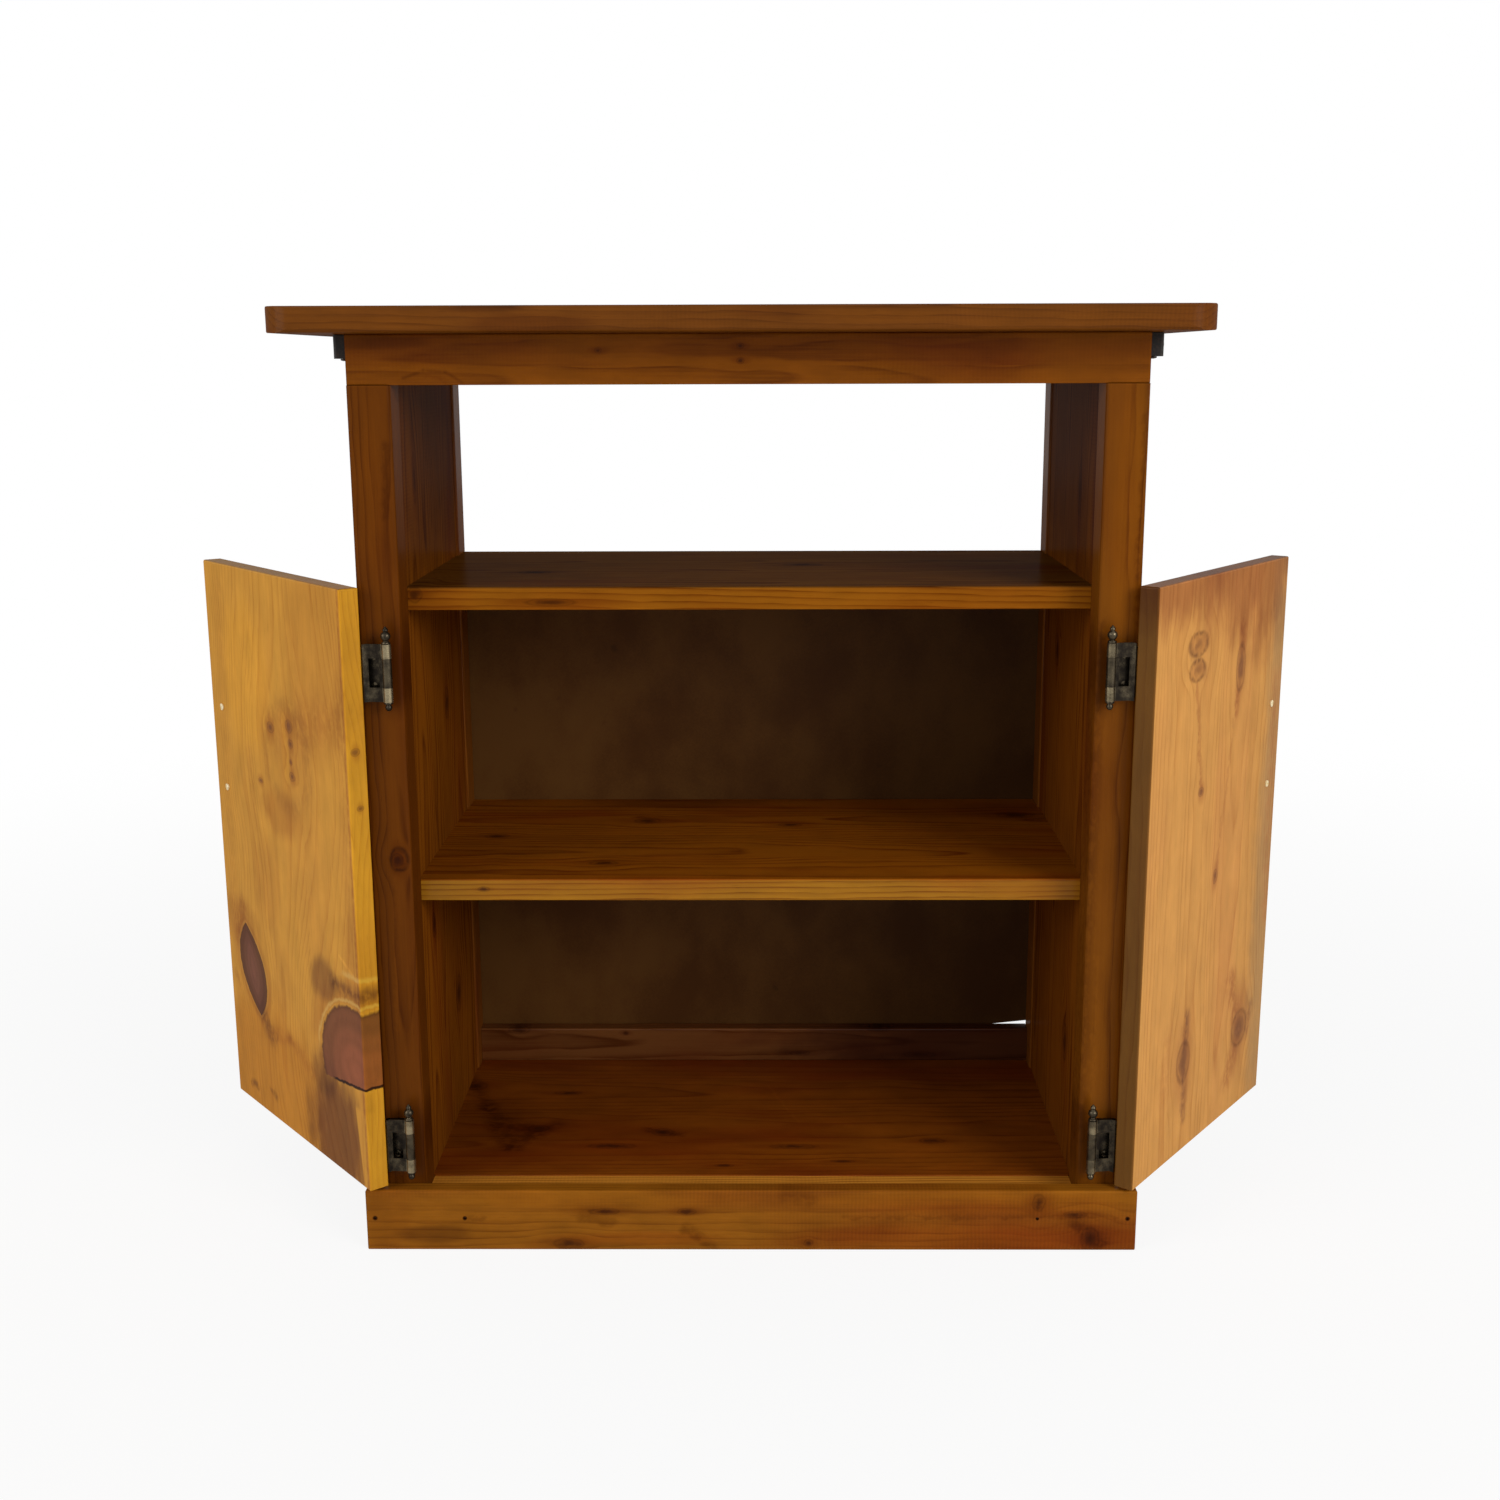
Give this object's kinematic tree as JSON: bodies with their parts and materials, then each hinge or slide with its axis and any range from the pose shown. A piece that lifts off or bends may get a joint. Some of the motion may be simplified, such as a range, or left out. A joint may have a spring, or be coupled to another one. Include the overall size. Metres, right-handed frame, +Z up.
{
  "type": "accent cabinet",
  "caption": "Rustic pine cabinet with an overhanging top, an open upper bay, a shelved lower part and side-hung doors that swing right back.",
  "frame": {"origin": "on the floor, at the middle of the underside of the plinth's front board", "axes": "+Z up, -Y toward the side with the doors, +X to the right seen from there"},
  "size_m": [1.2553, 0.48, 1.004],
  "materials": {
    "top_wood": "satin varnish over knotty pine",
    "frame_wood": "satin varnish over knotty pine",
    "shelf_wood": "satin varnish over knotty pine",
    "plinth_wood": "satin varnish over knotty pine",
    "door_wood": "satin varnish over knotty pine",
    "back_board": "smooth hardboard, lightly varnished",
    "block_black": "black, semi-gloss",
    "hinge_metal": "antique brass, darkened",
    "screw_metal": "zinc plated, yellowed"
  },
  "bodies": {
    "cabinet": {"top_board": "top_wood", "apron_front": "frame_wood", "apron_back": "frame_wood", "apron_left": "frame_wood", "apron_right": "frame_wood", "post_front_left": "frame_wood", "post_front_right": "frame_wood", "post_rear_left": "frame_wood", "post_rear_right": "frame_wood", "side_panel_left": "frame_wood", "side_panel_right": "frame_wood", "shelf_upper": "shelf_wood", "shelf_middle": "shelf_wood", "bottom_board": "shelf_wood", "rear_bottom_rail": "shelf_wood", "apron_dowels": "shelf_wood", "bottom_front_rail": "plinth_wood", "side_rail_left": "plinth_wood", "side_rail_right": "plinth_wood", "plinth_front": "plinth_wood", "plinth_left": "plinth_wood", "plinth_right": "plinth_wood", "back_panel": "back_board", "corner_blocks": "block_black", "post_leaf_upper_left": "hinge_metal", "post_leaf_lower_left": "hinge_metal", "post_leaf_upper_right": "hinge_metal", "post_leaf_lower_right": "hinge_metal", "hinge_pin_upper_left": "hinge_metal", "hinge_pin_lower_left": "hinge_metal", "hinge_pin_upper_right": "hinge_metal", "hinge_pin_lower_right": "hinge_metal", "post_leaf_screws_left": "hinge_metal", "post_leaf_screws_right": "hinge_metal", "corner_block_screws": "screw_metal", "back_panel_nails": "screw_metal", "plinth_nails": "screw_metal"},
    "left_door": {"door_left": "door_wood", "door_leaf_upper_left": "hinge_metal", "door_leaf_lower_left": "hinge_metal", "door_leaf_screws_left": "hinge_metal", "handle_left": "hinge_metal", "handle_screws_left": "screw_metal"},
    "right_door": {"door_right": "door_wood", "door_leaf_upper_right": "hinge_metal", "door_leaf_lower_right": "hinge_metal", "door_leaf_screws_right": "hinge_metal", "handle_right": "hinge_metal", "handle_screws_right": "screw_metal"}
  },
  "joints": [
    {"name": "left_door_hinge", "type": "hinge", "parent": "cabinet", "child": "left_door", "pos_m": [-0.369, -0.004, 0.381], "axis": [0, 0, 1], "range_deg": [-5, 230.5]},
    {"name": "right_door_hinge", "type": "hinge", "parent": "cabinet", "child": "right_door", "pos_m": [0.369, -0.004, 0.381], "axis": [0, 0, -1], "range_deg": [-2.5, 233]}
  ]
}
